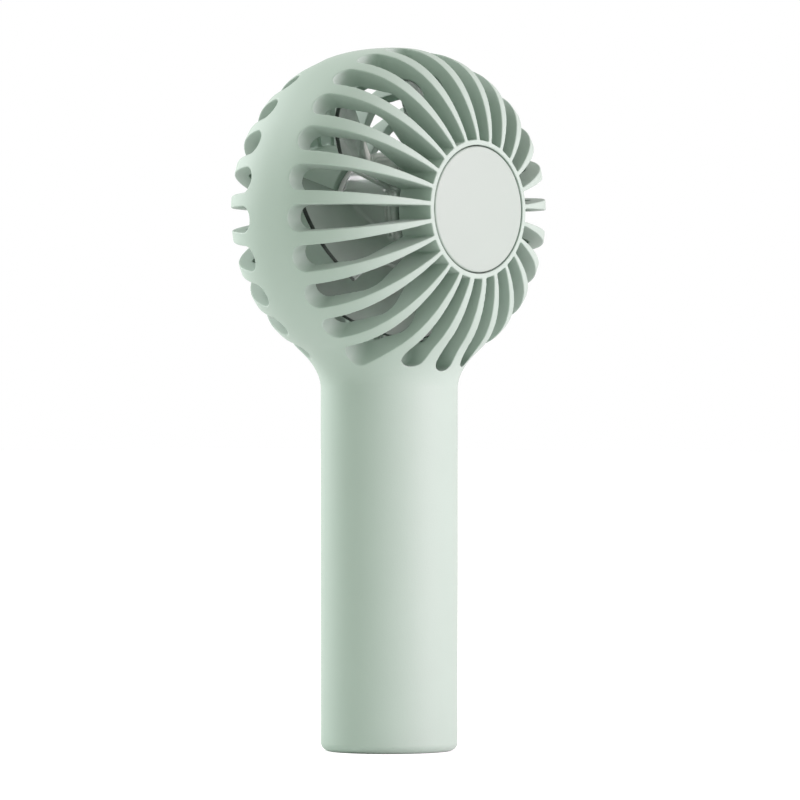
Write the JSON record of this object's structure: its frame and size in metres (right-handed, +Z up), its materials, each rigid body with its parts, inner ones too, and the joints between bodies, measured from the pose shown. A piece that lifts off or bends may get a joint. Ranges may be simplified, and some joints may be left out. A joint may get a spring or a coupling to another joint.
{
  "type": "handheld electric fan",
  "caption": "Rechargeable handheld fan: a caged axial impeller on a round battery handle, with a press button and a charging port.",
  "frame": {"origin": "centre of the handle's foot, on the surface it stands on", "axes": "+Z up along the handle, -Y towards the front, where the air leaves"},
  "size_m": [0.0766, 0.0576, 0.164],
  "materials": {
    "shell_green": "soft-touch matte, pale sage green",
    "cap_green": "soft-touch matte, pale sage green",
    "impeller_white": "semi-gloss off-white",
    "steel": "brushed",
    "magnet": "sintered ferrite",
    "lamination": "stacked laminations",
    "copper": "enamelled copper wire",
    "board_green": "solder mask on glass-epoxy",
    "black_plastic": "moulded",
    "cell_wrap": "heat-shrink sleeve over a steel can",
    "nickel": "nickel strip",
    "red_lead": "flexible insulation",
    "foam": "closed-cell foam",
    "pad_rubber": "matte silicone",
    "clear_plastic": "clear light guide",
    "button_green": "soft-touch matte",
    "frame_plastic": "moulded"
  },
  "bodies": {
    "housing": {"front_shell": "shell_green", "rear_shell": "shell_green", "front_cap": "cap_green", "rear_cap": "cap_green", "base_cap": "cap_green", "base_pad": "pad_rubber", "base_screws": "steel", "front_bearing": "steel", "rear_bearing": "steel", "stator_core": "lamination", "stator_windings": "copper", "motor_base": "frame_plastic", "motor_board": "board_green", "motor_screws": "steel", "motor_leads": "red_lead", "battery_cell": "cell_wrap", "cell_tab_negative": "nickel", "cell_tab_positive": "nickel", "battery_cradle": "frame_plastic", "foam_pad": "foam", "battery_leads": "red_lead", "control_board": "board_green", "board_screws": "steel", "board_chips": "black_plastic", "charging_socket": "steel", "socket_tongue": "black_plastic", "indicator_leds": "frame_plastic", "light_guide": "clear_plastic", "tactile_switch": "black_plastic"},
    "impeller": {"impeller": "impeller_white", "rotor_can": "steel", "magnet_ring": "magnet", "motor_shaft": "steel", "shaft_clip": "steel"},
    "power_button": {"power_button": "button_green", "switch_plunger": "black_plastic"}
  },
  "joints": [
    {"name": "impeller_spin", "type": "hinge", "parent": "housing", "child": "impeller", "pos_m": [0, 0, 0.12575], "axis": [0, 1, 0], "continuous": true},
    {"name": "power_button_press", "type": "slide", "parent": "housing", "child": "power_button", "axis": [0, -1, 0], "range_m": [0, 0.0004], "stiffness_N_per_m": 2500}
  ]
}
